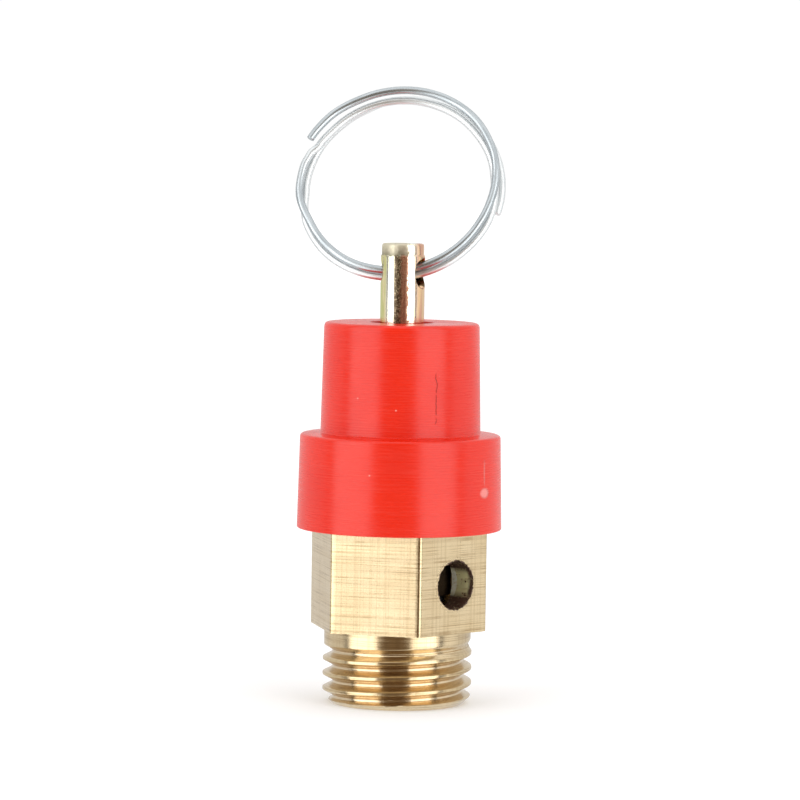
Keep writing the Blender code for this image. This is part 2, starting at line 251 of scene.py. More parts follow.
def filleted(outline, steps=5):
    """Outline points (radius, height, fillet), each corner eased over its fillet's length."""
    closed = outline[0][0] > 0
    count = len(outline)
    points = []
    for i, (radius, height, fillet) in enumerate(outline):
        corner = Vector((radius, height))
        if not fillet or (not closed and i in (0, count - 1)):
            points.append(corner)
            continue
        before = Vector(outline[i - 1][:2])
        after = Vector(outline[(i + 1) % count][:2])
        start = corner + (before - corner).normalized() * fillet
        end = corner + (after - corner).normalized() * fillet
        for step in range(steps + 1):
            t = step / steps
            points.append(start * (1 - t) ** 2 + corner * 2 * t * (1 - t) + end * t * t)
    return points


def turned(name, outline, sides=96):
    """A solid of revolution about Z from (radius, height, fillet) points."""
    points = filleted(outline)
    rows = [circle(radius, height, sides) for radius, height in points]
    return loft(name, rows, joined=outline[0][0] > 0)


def cut(item, cutter):
    """Cut the cutter out of the item, and remove the cutter."""
    modifier = item.modifiers.new("cut", "BOOLEAN")
    modifier.operation = "DIFFERENCE"
    modifier.solver = "EXACT"
    modifier.object = cutter
    bpy.context.view_layer.update()
    evaluated = item.evaluated_get(bpy.context.evaluated_depsgraph_get())
    mesh = bpy.data.meshes.new_from_object(evaluated)
    item.modifiers.clear()
    item.data = mesh
    bpy.data.objects.remove(cutter)


def bar(radius_at, azimuth, height, stations, sides=144):
    """A horizontal cutter through the axis; radius_at(station, turn) gives its radius."""
    along = direction(azimuth)
    across = direction(azimuth + 90)
    rows = []
    for station in stations:
        row = []
        for i in range(sides):
            turn = 2 * math.pi * i / sides
            radius = radius_at(station, turn)
            row.append(
                along * station + across * radius * math.cos(turn)
                + Vector((0, 0, height + radius * math.sin(turn))))
        rows.append(row)
    centre = Vector((0, 0, height))
    rows.insert(0, [along * stations[0] + centre] * sides)
    rows.append([along * stations[-1] + centre] * sides)
    return loft("bar", rows, joined=False)


def slot_cutter(length, width, depth, height):
    """A box cutter, its top at a height."""
    bpy.ops.mesh.primitive_cube_add(size=1.0)
    item = bpy.context.object
    item.data.transform(Matrix.Diagonal((length * MM, width * MM, depth * MM, 1.0)))
    item.data.transform(Matrix.Translation((0, 0, (height - depth / 2) * MM)))
    return item


def finish_piece(item, name, body, slot, material, *replaced, sharp=32.0):
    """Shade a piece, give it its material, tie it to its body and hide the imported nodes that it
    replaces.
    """
    item.name = name
    item.data.name = name
    item.data.materials.clear()
    item.data.materials.append(material)
    for face in item.data.polygons:
        face.material_index = 0
    item.data.shade_smooth()
    item.data.set_sharp_from_angle(angle=math.radians(sharp))
    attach(item, body)
    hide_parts(*replaced)


# ---------------------------------------------------------------- materials


def connect(tree, socket, value):
    """Set a socket to a number, colour or vector, or link it to another node's output."""
    if isinstance(value, bpy.types.NodeSocket):
        tree.links.new(value, socket)
    elif isinstance(value, (tuple, list)) and len(value) == 3 and socket.type == "RGBA":
        socket.default_value = (*value, 1.0)
    else:
        socket.default_value = value


def add_node(tree, kind, inputs=(), output=0, **properties):
    """Add a node with its inputs, keyed by name or number, and return one of its outputs."""
    item = tree.nodes.new("ShaderNode" + kind)
    for key, value in properties.items():
        setattr(item, key, value)
    for key, value in dict(inputs).items():
        connect(tree, item.inputs[key], value)
    return item.outputs[output]


class Finish:
    """A material under construction, with helpers that add its texture nodes."""

    def __init__(self, name, **values):
        self.material = bpy.data.materials.new(name)
        self.material.use_nodes = True
        self.tree = self.material.node_tree
        self.shader = self.tree.nodes["Principled BSDF"]
        self.place = self.add("TexCoord", output="Object")
        for key, value in values.items():
            self.set(key.replace("_", " "), value)

    def set(self, socket, value):
        """Set or link one of the shader's inputs."""
        connect(self.tree, self.shader.inputs[socket], value)

    def add(self, kind, inputs=(), output=0, **properties):
        """Add a node to the material, and return one of its outputs."""
        return add_node(self.tree, kind, inputs, output, **properties)

    def stretched(self, scale, place=None):
        """The piece's coordinates, scaled along each axis."""
        return self.add("Mapping", {"Vector": place or self.place, "Scale": scale})

    def grain(self, size, stretch=(1, 1, 1), detail=3.0, rough=0.55, place=None):
        """Noise from 0 to 1 whose features are about size millimetres wide."""
        return self.add("TexNoise", {
            "Vector": self.stretched(stretch, place), "Scale": 1 / (size * MM),
            "Detail": detail, "Roughness": rough})

    def remap(self, value, low_in, high_in, low_out, high_out):
        """The value moved from one range to another, and held within it."""
        return self.add("MapRange", {
            "Value": value, "From Min": low_in, "From Max": high_in,
            "To Min": low_out, "To Max": high_out})

    def maths(self, operation, a, b=0.0):
        """One step of arithmetic on numbers or outputs."""
        return self.add("Math", {0: a, 1: b}, operation=operation)

    def mix(self, share, a, b):
        """A colour between two colours or outputs."""
        return self.add("Mix", {0: share, 6: a, 7: b}, output=2, data_type="RGBA")

    def bump(self, height, depth, below=None):
        """Normals from a height of depth micrometres."""
        inputs = {"Height": height, "Strength": 1.0, "Distance": depth * 0.001 * MM}
        if below is not None:
            inputs["Normal"] = below
        return self.add("Bump", inputs)


def near_bar(look, azimuth, height, ragged):
    """Distance from a cross hole's axis, height off it and distance out along it, in millimetres.

    ragged is noise from 0 to 1, which moves the first by up to 0.09 mm.
    """
    local = look.add("Mapping", {
        "Vector": look.place, "Rotation": (0, 0, -math.radians(azimuth)),
        "Scale": (1 / MM, 1 / MM, 1 / MM), "Location": (0, 0, -height)})
    parts = look.add("SeparateXYZ", {0: local}).node.outputs
    flat = look.add("VectorMath", {0: local, 1: (1, 0, 1)}, operation="MULTIPLY")
    distance = look.add("VectorMath", {0: flat}, output="Value", operation="LENGTH")
    distance = look.maths("ADD", distance, look.remap(ragged, 0.3, 0.7, -0.09, 0.09))
    return distance, look.maths("ABSOLUTE", parts["Z"]), look.maths("ABSOLUTE", parts["Y"])


def hole_wall(look, rise, out):
    """Colour of the drilled wall: painted light in its middle, painted shade above and below, a
    painted glint at its inner end and darker at its mouth.
    """
    dark_wall = (0.08, 0.04, 0.025)
    mouth = HEX_FLATS / 2
    # Painted light: the middle of the wall is pale, and painted shade darkens it above and below.
    middle = look.remap(rise, 1.3, 0.75, 0.0, 1.0)
    wall = look.mix(middle, dark_wall, (0.74, 0.70, 0.38))
    # A painted glint along the inner end of the wall.
    painted_glint = look.maths("MULTIPLY", middle, look.remap(
        out, CHAMBER_R + 0.18, CHAMBER_R + 0.08, 0.0, 1.0))
    wall = look.mix(painted_glint, wall, (1.0, 1.0, 0.84))
    # The wall is darker at its mouth.
    return look.mix(look.remap(out, mouth - 0.55, mouth - 0.25, 0.0, 1.0), wall, dark_wall)


def brass_finish():
    """Machined brass: thin lines round it and up it, short scratches and a hole wall with painted
    light and shade.
    """
    look = Finish("brass")
    line_colour = (0.38, 0.26, 0.13)
    patches = look.grain(3.5, detail=2.0)
    lines = look.grain(0.30, (0.006, 0.006, 1.0), detail=1.0)
    uprights = look.grain(0.50, (1.0, 1.0, 0.006), detail=1.0)
    broken = look.grain(0.9, (0.4, 0.4, 1.0), detail=3.0)
    wide_lines = look.grain(0.42, (0.02, 0.02, 1.0), detail=2.0)
    scratches = look.grain(0.08, (0.22, 0.22, 1.0), detail=3.0)
    pits = look.grain(0.12, (0.5, 0.5, 1.0), detail=2.0)
    groove = look.add("Attribute", output="Fac", attribute_name="groove")
    distance, rise, out = near_bar(look, HOLE_AZIMUTH, HOLE_Z, look.grain(0.22, detail=3.0))
    hole = look.remap(distance, HOLE_R + 0.10, HOLE_R + 0.03, 0.0, 1.0)

    colour = look.mix(
        look.remap(patches, 0.35, 0.65, 0.0, 1.0), (0.74, 0.595, 0.375), (0.69, 0.54, 0.325))
    cut_depth = look.remap(broken, 0.40, 0.64, 0.14, 0.72)
    off_line = look.maths("ABSOLUTE", look.maths("SUBTRACT", lines, 0.5))
    line = look.maths("MULTIPLY", look.remap(off_line, 0.012, 0.048, 1.0, 0.0), cut_depth)
    colour = look.mix(line, colour, line_colour)
    off_upright = look.maths("ABSOLUTE", look.maths("SUBTRACT", uprights, 0.5))
    colour = look.mix(look.remap(off_upright, 0.01, 0.04, 0.22, 0.0), colour, line_colour)
    colour = look.mix(look.remap(scratches, 0.25, 0.30, 0.8, 0.0), colour, (0.20, 0.12, 0.06))
    colour = look.mix(look.maths("MULTIPLY", groove, 0.5), colour, (0.68, 0.54, 0.38))
    # Inside the discharge hole the base colour is the wall's painted light and shade.
    look.set("Base Color", look.mix(hole, colour, hole_wall(look, rise, out)))
    look.set("Metallic", look.remap(hole, 0.0, 1.0, 1.0, 0.15))
    rough = look.remap(wide_lines, 0.3, 0.7, 0.18, 0.27)
    rough = look.maths("SUBTRACT", rough, look.maths("MULTIPLY", groove, 0.04))
    look.set("Roughness", look.maths("ADD", rough, look.maths("MULTIPLY", hole, 0.3)))
    fine = look.bump(lines, 6.0)
    wide = look.bump(wide_lines, 6.0, fine)
    burr = look.remap(distance, HOLE_R + 0.12, HOLE_R + 0.35, 1.0, 0.0)
    look.set("Normal", look.bump(burr, 25.0, look.bump(pits, 3.0, wide)))
    return look.material


def inner_brass_finish():
    """Plainer turned brass of the inner pieces."""
    look = Finish("inner_brass", Metallic=1.0)
    lines = look.grain(0.12, (0.05, 0.05, 1.0), detail=3.0)
    patches = look.grain(2.0)
    look.set("Base Color", look.mix(patches, (0.76, 0.58, 0.32), (0.66, 0.48, 0.24)))
    look.set("Roughness", look.remap(lines, 0.3, 0.7, 0.24, 0.38))
    look.set("Normal", look.bump(lines, 5.0))
    return look.material


def crack_mask(look):
    """1 along a short, broken, upright hairline on the front of the cap's upper part."""
    parts = look.add("SeparateXYZ", {0: look.place}).node.outputs
    foot, head = CRACK_Z
    fade = 0.4
    sway = look.grain(1.2, (0.0, 0.0, 1.0), detail=2.0)
    middle = look.remap(sway, 0.0, 1.0, (CRACK_X - 0.35) * MM, (CRACK_X + 0.35) * MM)
    off = look.maths("ABSOLUTE", look.maths("SUBTRACT", parts["X"], middle))
    line = look.remap(off, 0.015 * MM, 0.05 * MM, 1.0, 0.0)
    above = look.remap(parts["Z"], foot * MM, (foot + fade) * MM, 0.0, 1.0)
    below = look.remap(parts["Z"], (head - fade) * MM, head * MM, 1.0, 0.0)
    window = look.maths("MULTIPLY", above, below)
    front = look.remap(parts["Y"], -1 * MM, 0.0, 1.0, 0.0)
    broken = look.remap(look.grain(0.9, (0.0, 0.0, 1.0)), 0.36, 0.46, 0.0, 1.0)
    mask = look.maths("MULTIPLY", look.maths("MULTIPLY", line, window), front)
    return look.maths("MULTIPLY", mask, broken)


def oval_mask(look, height, half_width, half_height):
    """1 on an oval on the side of the cap's collar, fading to 0 at its edge."""
    middle = direction(DRIP_AZIMUTH) * CAP_COLLAR_R + Vector((0, 0, height))
    moved = look.add("VectorMath", {0: look.place, 1: tuple(middle * MM)}, operation="SUBTRACT")
    turn = (0.0, 0.0, -math.radians(DRIP_AZIMUTH))
    local = look.add("Mapping", {"Vector": moved, "Rotation": turn})
    scaled = look.stretched((1 / (half_width * MM), 1 / (3 * MM), 1 / (half_height * MM)), local)
    reach = look.add("VectorMath", {0: scaled}, output="Value", operation="LENGTH")
    return look.add("MapRange", {
        "Value": reach, "From Min": 1.0, "From Max": 0.5}, interpolation_type="SMOOTHSTEP")


def drip_mask(look):
    """1 on a drop that dried on the side of the cap's collar, and less on the trail above it."""
    start, end = DRIP_TRAIL
    trail = oval_mask(look, (start + end) / 2, 0.14, (end - start) / 2)
    drop = oval_mask(look, DRIP_Z, 0.80, 0.55)
    return look.maths("MAXIMUM", drop, look.maths("MULTIPLY", trail, 0.5))


def red_finish():
    """Turned red plastic: fine rings from the lathe, soft wear and a few pale specks."""
    look = Finish("red_plastic", Metallic=0.0, IOR=1.50)
    rings = look.grain(0.12, (0.035, 0.035, 1.0), detail=3.0)
    wide_rings = look.grain(0.5, (0.03, 0.03, 1.0), detail=1.0)
    grain = look.grain(0.09, detail=2.0)
    patches = look.grain(5.0, detail=2.0)
    base = look.mix(
        look.remap(patches, 0.3, 0.7, 0.0, 1.0), (0.78, 0.020, 0.003), (0.73, 0.015, 0.002))
    specks = look.add("TexVoronoi", {
        "Vector": look.place, "Scale": 1 / (2.0 * MM), "Randomness": 1.0})
    speck = look.remap(specks, 0.02, 0.045, 0.75, 0.0)
    base = look.mix(speck, base, (0.95, 0.55, 0.48))
    base = look.mix(look.remap(rings, 0.54, 0.70, 0.0, 0.06), base, (0.92, 0.17, 0.12))
    drip = drip_mask(look)
    # The dried drop is raised by a bump; its pale colour is partly a painted highlight.
    base = look.mix(look.maths("MULTIPLY", drip, 0.45), base, (0.95, 0.50, 0.46))
    crack = crack_mask(look)
    look.set("Base Color", look.mix(look.maths("MULTIPLY", crack, 0.8), base, (0.25, 0.01, 0.008)))
    scuffed = look.remap(patches, 0.3, 0.7, 0.0, 0.06)
    look.set("Roughness", look.maths("ADD", look.remap(rings, 0.3, 0.7, 0.19, 0.30), scuffed))
    fine = look.bump(rings, 3.2)
    wide = look.bump(wide_rings, 6.0, fine)
    drop = look.bump(drip, 110.0, look.bump(grain, 1.5, wide))
    look.set("Normal", look.bump(crack, -30.0, drop))
    return look.material


def zinc_finish():
    """Yellow passivated zinc: straw, olive and tan tints, a speckled painted reflection of the dark
    surroundings on its front, and a worn dull end.
    """
    look = Finish("yellow_zinc")
    place = look.add("SeparateXYZ", {0: look.place}).node.outputs
    streaks = look.grain(0.45, (1.0, 1.0, 0.08), detail=2.0)
    draw = look.grain(0.10, (1.0, 1.0, 0.04), detail=3.0)
    speckle = look.grain(0.085, (1.0, 1.0, 0.7), detail=3.0, rough=0.7)
    ragged = look.remap(look.grain(0.3, detail=3.0), 0.3, 0.7, -0.16, 0.16)
    streak = look.remap(streaks, 0.42, 0.56, 0.0, 1.0)
    olive = look.mix(streak, (0.84, 0.74, 0.42), (0.62, 0.62, 0.24))
    straw = look.mix(streak, (0.98, 0.96, 0.84), (0.90, 0.86, 0.66))
    tan = look.mix(streak, (0.84, 0.58, 0.33), (0.74, 0.40, 0.28))
    straw = look.mix(look.remap(place["X"], -1.55 * MM, -1.3 * MM, 0.0, 1.0), olive, straw)
    colour = look.mix(look.remap(place["X"], 0.9 * MM, 1.4 * MM, 0.0, 1.0), straw, tan)

    across = look.maths("ADD", look.maths("DIVIDE", place["X"], MM), ragged)
    # The patch on the front of the rod is a painted reflection of the dark surroundings: dark,
    # speckled and less metallic.
    front = look.remap(place["Y"], -0.5 * MM, -0.9 * MM, 0.0, 1.0)
    left = look.remap(place["X"], -0.80 * MM, -0.72 * MM, 0.0, 1.0)
    right = look.remap(across, 0.42, 0.50, 1.0, 0.0)
    patch = look.maths("MULTIPLY", front, look.maths("MULTIPLY", left, right))
    sharp_grain = look.remap(speckle, 0.53, 0.66, 0.0, 1.0)
    grains = look.mix(sharp_grain, (0.07, 0.045, 0.022), (0.88, 0.72, 0.46))
    soft_grain = look.remap(speckle, 0.42, 0.66, 0.0, 1.0)
    reflection_tone = look.mix(soft_grain, (0.38, 0.14, 0.08), (0.76, 0.46, 0.28))
    reflection_tone = look.mix(look.remap(draw, 0.42, 0.60, 0.0, 0.5), reflection_tone, (0.18, 0.07, 0.045))
    painted_reflection = look.mix(look.remap(across, -0.30, 0.0, 0.0, 1.0), grains, reflection_tone)
    # The front takes the painted reflection.
    colour = look.mix(patch, colour, painted_reflection)

    height = look.maths("ADD", look.maths("DIVIDE", place["Z"], MM), ragged)
    above = look.remap(height, STEM_TOP - 1.15, STEM_TOP - 1.0, 0.0, 1.0)
    beside = look.remap(across, 0.6, 0.4, 0.0, 1.0)
    worn = look.maths("MULTIPLY", above, beside)
    pale = look.remap(height, STEM_TOP - 1.05, STEM_TOP - 0.3, 0.15, 0.85)
    grey = look.mix(pale, (0.16, 0.14, 0.08), (0.72, 0.66, 0.50))
    colour = look.mix(look.maths("MULTIPLY", worn, 0.9), colour, grey)
    distance = near_bar(look, EYE_AZIMUTH, EYE_Z, speckle)[0]
    # Inside the cross hole the colour is darkened: painted shade.
    inside = look.maths("MULTIPLY", look.remap(distance, EYE_R + 0.12, EYE_R + 0.04, 0.0, 1.0), 0.92)
    look.set("Base Color", look.mix(inside, colour, (0.30, 0.23, 0.10)))
    dull_patch = look.maths("MULTIPLY", patch, 0.35)
    dull_end = look.maths("MULTIPLY", worn, 0.35)
    dull = look.maths("MAXIMUM", dull_patch, dull_end)
    look.set("Metallic", look.maths("SUBTRACT", 1.0, dull))
    rough = look.remap(draw, 0.3, 0.7, 0.08, 0.20)
    look.set("Roughness", look.maths("ADD", rough, look.maths("MULTIPLY", worn, 0.25)))
    look.set("Normal", look.bump(speckle, 5.0, look.bump(draw, 3.0)))
    return look.material


def wire_finish(name, rough_low, rough_high, metallic, tones, painted_sheen_tones=None, sheen_from=0.0):
    """Drawn steel wire, streaked along its length; beyond a length in millimetres it is paler, a
    painted sheen.
    """
    look = Finish(name, Metallic=metallic)
    along = look.add("Attribute", output="Vector", attribute_name="wire")
    size = 0.25 / MM                # the wire's attribute is in millimetres
    fade = 6.0
    streaks = look.grain(size, (1.0, 1.0, 0.10), detail=3.0, place=along)
    streak = look.remap(streaks, 0.35, 0.65, 0.0, 1.0)
    pits = look.grain(0.12, detail=2.0)
    colour = look.mix(streak, *tones)
    rough = look.remap(streaks, 0.3, 0.7, rough_low, rough_high)
    if painted_sheen_tones:
        length = look.add("SeparateXYZ", {0: along}).node.outputs["Z"]
        # Painted sheen: past that length the wire takes paler tones and is a little rougher.
        worn = look.remap(length, sheen_from, sheen_from + fade, 0.0, 1.0)
        colour = look.mix(worn, colour, look.mix(streak, *painted_sheen_tones))
        rough = look.maths("ADD", rough, look.maths("MULTIPLY", worn, 0.12))
    look.set("Base Color", colour)
    look.set("Roughness", rough)
    look.set("Normal", look.bump(pits, 1.2))
    return look.material


def dark_finish():
    """Brass of the disc's holder, near black all over: painted shade for the inside of the body."""
    look = Finish("painted_shade_brass", Metallic=1.0)
    lines = look.grain(0.12, (0.05, 0.05, 1.0), detail=3.0)
    patches = look.grain(1.5)
    # The near-black colour is painted shade.
    look.set("Base Color", look.mix(patches, (0.10, 0.065, 0.04), (0.05, 0.035, 0.025)))
    look.set("Roughness", look.remap(lines, 0.3, 0.7, 0.35, 0.55))
    look.set("Normal", look.bump(lines, 5.0))
    return look.material


def steel_finish():
    """Pressed steel of the clip and the spring seat."""
    look = Finish("spring_steel", Metallic=1.0)
    grain = look.grain(0.25, detail=3.0)
    look.set("Base Color", look.mix(grain, (0.56, 0.56, 0.57), (0.42, 0.42, 0.43)))
    look.set("Roughness", look.remap(grain, 0.3, 0.7, 0.28, 0.42))
    look.set("Normal", look.bump(grain, 4.0))
    return look.material


def rubber_finish():
    """Black sealing rubber."""
    look = Finish("black_rubber", Metallic=0.0)
    grain = look.grain(0.2, detail=3.0)
    look.set("Base Color", look.mix(grain, (0.018, 0.018, 0.018), (0.035, 0.034, 0.033)))
    look.set("Roughness", look.remap(grain, 0.3, 0.7, 0.62, 0.8))
    look.set("Normal", look.bump(grain, 6.0))
    return look.material


# ---------------------------------------------------------------- valve body


def body_columns():
    """Azimuths of the mesh's columns: even over each flat and close over each edge."""
    half_flat = HEX_FLATS / 2
    bend = math.degrees(math.atan2(half_flat * math.tan(math.radians(30)) - HEX_EDGE, half_flat))
    columns = []
    for face in range(6):
        middle = HEX_AZIMUTH + 60 * face
        columns += [middle - bend + 2 * bend * i / FLAT_COLUMNS for i in range(FLAT_COLUMNS)]
        edge = 60 - 2 * bend
        columns += [middle + bend + edge * i / EDGE_COLUMNS for i in range(EDGE_COLUMNS)]
    return columns


def hexagon_radius(azimuth):
    """Radius of the hexagon, its upright edges rounded."""
    turn = (azimuth - HEX_AZIMUTH + 30) % 60 - 30
    flat = HEX_FLATS / 2 / math.cos(math.radians(turn))
    rounding = HEX_EDGE / math.tan(math.radians(30))
    corner = HEX_FLATS / 2 / math.cos(math.radians(30))
    centre = corner - rounding / math.sin(math.radians(60))
    off = math.radians(30 - abs(turn))
    inside = rounding ** 2 - (centre * math.sin(off)) ** 2
    if inside <= 0:
        return flat
    return min(flat, centre * math.cos(off) + math.sqrt(inside))


def thread_radius(azimuth, height):
    """Radius of the pipe thread, its crests and roots rounded, its last turn shallower."""
    turns = (height - GROOVE_RIGHT) / THREAD_PITCH - (azimuth - 90) / 360
    groove = round(turns)
    off = abs(turns - groove) * THREAD_PITCH
    along = azimuth + 360 * groove
    depth = 1 - (1 - GROOVE_LAST) * ease((along - GROOVE_END + GROOVE_FADE) / GROOVE_FADE)
    if along > GROOVE_END:
        depth = GROOVE_LAST * (1 - ease((along - GROOVE_END) / GROOVE_TAIL))
    above_last = turns > groove and along > GROOVE_END - 360
    crest = SHANK_R if above_last or along > GROOVE_END else THREAD_MAJOR_R
    share = (off - THREAD_FLOOR) / THREAD_FLANK
    softness = 0.004
    ramp = (math.sqrt(share ** 2 + softness) - math.sqrt((share - 1) ** 2 + softness) + 1) / 2
    radius = crest - (crest - THREAD_MINOR_R) * depth * (1 - min(max(ramp, 0.0), 1.0))
    point = direction(azimuth) * radius
    radius += 0.012 * (1 - ease(height - 4.6)) * wander(point.x * 2.2, point.y * 2.2, height * 3)
    reach = GROOVE_TORN - abs(along - GROOVE_END)
    if reach > 0:
        torn = ease(1 - off / 0.5) * ease(reach / 40)
        radius += 0.06 * torn * wander(point.x * 7, point.y * 7, height * 9)
    return min(radius, THREAD_MAJOR_R - END_CHAMFER + height)


def discharge_radius(station, turn):
    """Radius of the drilled discharge hole, ragged at its mouths."""
    ragged = 0.5 + 1.4 * ease((abs(station) - 5.6) / 1.2)
    x = math.cos(turn)
    y = math.sin(turn)
    return HOLE_R + ragged * (
        0.035 * wander(x * 2.2, y * 2.2, station) + 0.07 * wander(x * 11, y * 11, station * 1.5 + 9))


def valve_body(material):
    """The brass bar: thread, hexagon, neck and bore in one mesh, with the discharge holes cut."""
    columns = body_columns()

    def row(radius_at, height_at):
        return [
            direction(azimuth) * radius_at(azimuth) + Vector((0, 0, height_at(azimuth)))
            for azimuth in columns
        ]

    def ring(radius, height):
        return row(lambda azimuth: radius, lambda azimuth: height)

    def between(share, height, inner=SHANK_R + 0.1):
        return row(
            lambda azimuth: inner + (hexagon_radius(azimuth) - HEX_RIM - inner) * share,
            lambda azimuth: height)

    def rough_rim(azimuth):
        """Height of the hexagon's lower rim, with small burrs, the largest at one corner."""
        point = direction(azimuth) * 8
        burr = 0.14 * ease(1 - abs(azimuth - BURR_AZIMUTH) / 7) * wander(point.x * 9, point.y * 9, 4)
        return HEX_BOTTOM + 0.03 * wander(point.x * 3, point.y * 3, 1) - abs(burr)

    rows = []
    step = THREAD_PITCH / THREAD_ROWS
    for i in range(math.ceil((THREAD_BLOCK + THREAD_PITCH) / step) + 1):
        start = i * step - THREAD_PITCH
        loop = []
        for azimuth in columns:
            height = start + THREAD_PITCH * (azimuth - columns[0]) / 360
            if height < step / 2:
                height = 0.0
            elif height > THREAD_BLOCK - step / 2:
                height = THREAD_BLOCK
            radius = thread_radius(azimuth, height)
            loop.append(direction(azimuth) * radius + Vector((0, 0, height)))
        rows.append(loop)
    helix = (0, len(rows) - 1, THREAD_ROWS)

    for grow, drop in ((0.0, 0.12), (0.03, 0.03), (0.1, 0.0)):
        rows.append(ring(SHANK_R + grow, HEX_BOTTOM - drop))
    rows += [between(share, HEX_BOTTOM) for share in (0.33, 0.66)]
    rows.append(between(1.0, HEX_BOTTOM))
    rows.append(row(lambda a: hexagon_radius(a) - 0.3 * HEX_RIM, rough_rim))
    rows.append(row(hexagon_radius, lambda a: rough_rim(a) + HEX_RIM))
    height = HEX_BOTTOM + 0.3
    while height < HEX_TOP - 0.3:
        rows.append(row(hexagon_radius, lambda azimuth: height))
        height += 0.6
    rows.append(row(hexagon_radius, lambda azimuth: HEX_TOP - HEX_RIM))
    rows.append(row(lambda a: hexagon_radius(a) - HEX_RIM, lambda azimuth: HEX_TOP))
    inside = filleted([
        (NECK_R, HEX_TOP, 0.1), (NECK_R, NECK_GROOVE_Z[0], 0.1),
        (NECK_GROOVE_R, NECK_GROOVE_Z[0], 0.05), (NECK_GROOVE_R, NECK_GROOVE_Z[1], 0.05),
        (NECK_R, NECK_GROOVE_Z[1], 0.1), (NECK_R, NECK_STEP_Z, 0.2),
        (NECK_TOP_R, NECK_STEP_Z, 0.1), (NECK_TOP_R, NECK_TOP, 0.25),
        (CHAMBER_R, NECK_TOP, 0.2), (CHAMBER_R, FLOOR_Z, 0.15), (SEAT_R, FLOOR_Z, 0.1),
        (SEAT_R - 0.15, SEAT_Z, 0.1), (INLET_R, SEAT_Z, 0.1), (INLET_R, 0.35, 0.1),
        (INLET_R + 0.35, 0.0, 0.05), (THREAD_MINOR_R - 0.3, 0.0, 0.0),
    ], steps=3)
    rows += [ring(radius, height) for radius, height in inside]
    body = loft("valve_body_visual", rows, helix=helix)

    stations = [-12, -8, -7.4, -7.2, -7.0, -6.8, -6.4, -5.6, -5, 0]
    stations += [-station for station in reversed(stations[:-1])]
    cut(body, bar(discharge_radius, HOLE_AZIMUTH, HOLE_Z, stations))

    groove = body.data.attributes.new("groove", "FLOAT", "POINT")
    for vertex, value in zip(body.data.vertices, groove.data):
        radius = vertex.co.xy.length / MM
        share = (THREAD_MAJOR_R - radius) / (THREAD_MAJOR_R - THREAD_MINOR_R)
        value.value = min(max(share, 0.0), 1.0) if vertex.co.z < THREAD_BLOCK * MM else 0.0
    finish_piece(
        body, "valve_body_machined", "housing", "brass", material, "valve_body", sharp=28.0)


# ---------------------------------------------------------------- cap


def red_cap(material):
    """The cap: a collar over the hexagon's top and a narrower part, with a rib inside."""
    neck = NECK_R + CAP_FIT
    upper = NECK_TOP_R + CAP_FIT
    rib = neck - GAP
    ceiling = NECK_STEP_Z + GAP
    roof = CAP_TOP - CAP_ROOF
    outline = [
        (CAP_HOLE_R, CAP_TOP, 0.12), (CAP_UPPER_TOP_R, CAP_TOP, CAP_EDGE),
        (CAP_UPPER_R, CAP_SHOULDER, 0.08),
        (CAP_COLLAR_TOP_R, CAP_SHOULDER - CAP_SHOULDER_DROP, COLLAR_EDGE),
        (CAP_COLLAR_R, CAP_BOTTOM, 0.1), (CAP_COLLAR_INNER, CAP_BOTTOM, 0.05),
        (CAP_COLLAR_INNER, HEX_TOP + GAP, 0.1), (neck, HEX_TOP + 0.8, 0.1),
        (neck, NECK_GROOVE_Z[0] + GAP, 0.05), (rib, NECK_GROOVE_Z[0] + 0.6, 0.05),
        (rib, NECK_GROOVE_Z[1] - 0.6, 0.05), (neck, NECK_GROOVE_Z[1] - GAP, 0.05),
        (neck, ceiling, 0.05), (upper, ceiling, 0.05), (upper, roof, 0.1),
        (CAP_HOLE_R, roof, 0.05),
    ]
    points = []
    corners = filleted(outline, steps=6)
    for start, end in zip(corners, corners[1:] + corners[:1]):
        points.append(start)
        count = int((end - start).length / 0.35)
        points += [start.lerp(end, i / count) for i in range(1, count)]
    rows = [circle(radius, height, CAP_SIDES) for radius, height in points]
    cap = loft("red_cap_visual", rows)
    finish_piece(cap, "red_cap_turned", "housing", "red_plastic", material, "red_cap")


# ---------------------------------------------------------------- stem


def eye_radius(station, turn):
    """Radius of the cross hole, flared where it leaves the rod on its right, in front and below."""
    share = ease((station - 0.9) / 0.9) ** 2
    toward = max(0.0, math.cos(turn - math.radians(EYE_FLARE_TURN)))
    return EYE_R + (0.06 + EYE_FLARE * toward) * share


def stem(material):
    """The pull stem, with its narrower tip, cross hole and clip groove."""
    shoulder = HOLDER_BOSS_TOP + GAP
    outline = [
        (0, STEM_TOP, 0), (STEM_TIP_R, STEM_TOP, 0.28), (STEM_TIP_R, STEM_TOP - 1.0, 0.05),
        (STEM_R, STEM_TOP - 1.12, 0.05), (STEM_R, shoulder, 0.15), (STEM_NECK_R, shoulder, 0.05),
        (STEM_NECK_R, STEM_GROOVE[1], 0.05), (STEM_GROOVE_R, STEM_GROOVE[1], 0.05),
        (STEM_GROOVE_R, STEM_GROOVE[0], 0.05), (STEM_NECK_R, STEM_GROOVE[0], 0.05),
        (STEM_NECK_R, STEM_FOOT, 0.15), (0, STEM_FOOT, 0),
    ]
    rod = turned("stem_visual", outline, 120)
    stations = [-2.4 + 0.15 * i for i in range(33)]
    cut(rod, bar(eye_radius, EYE_AZIMUTH, EYE_Z, stations, 64))
    finish_piece(rod, "stem_plated", "pull_stem", "yellow_zinc", material, "stem")


# ---------------------------------------------------------------- wires


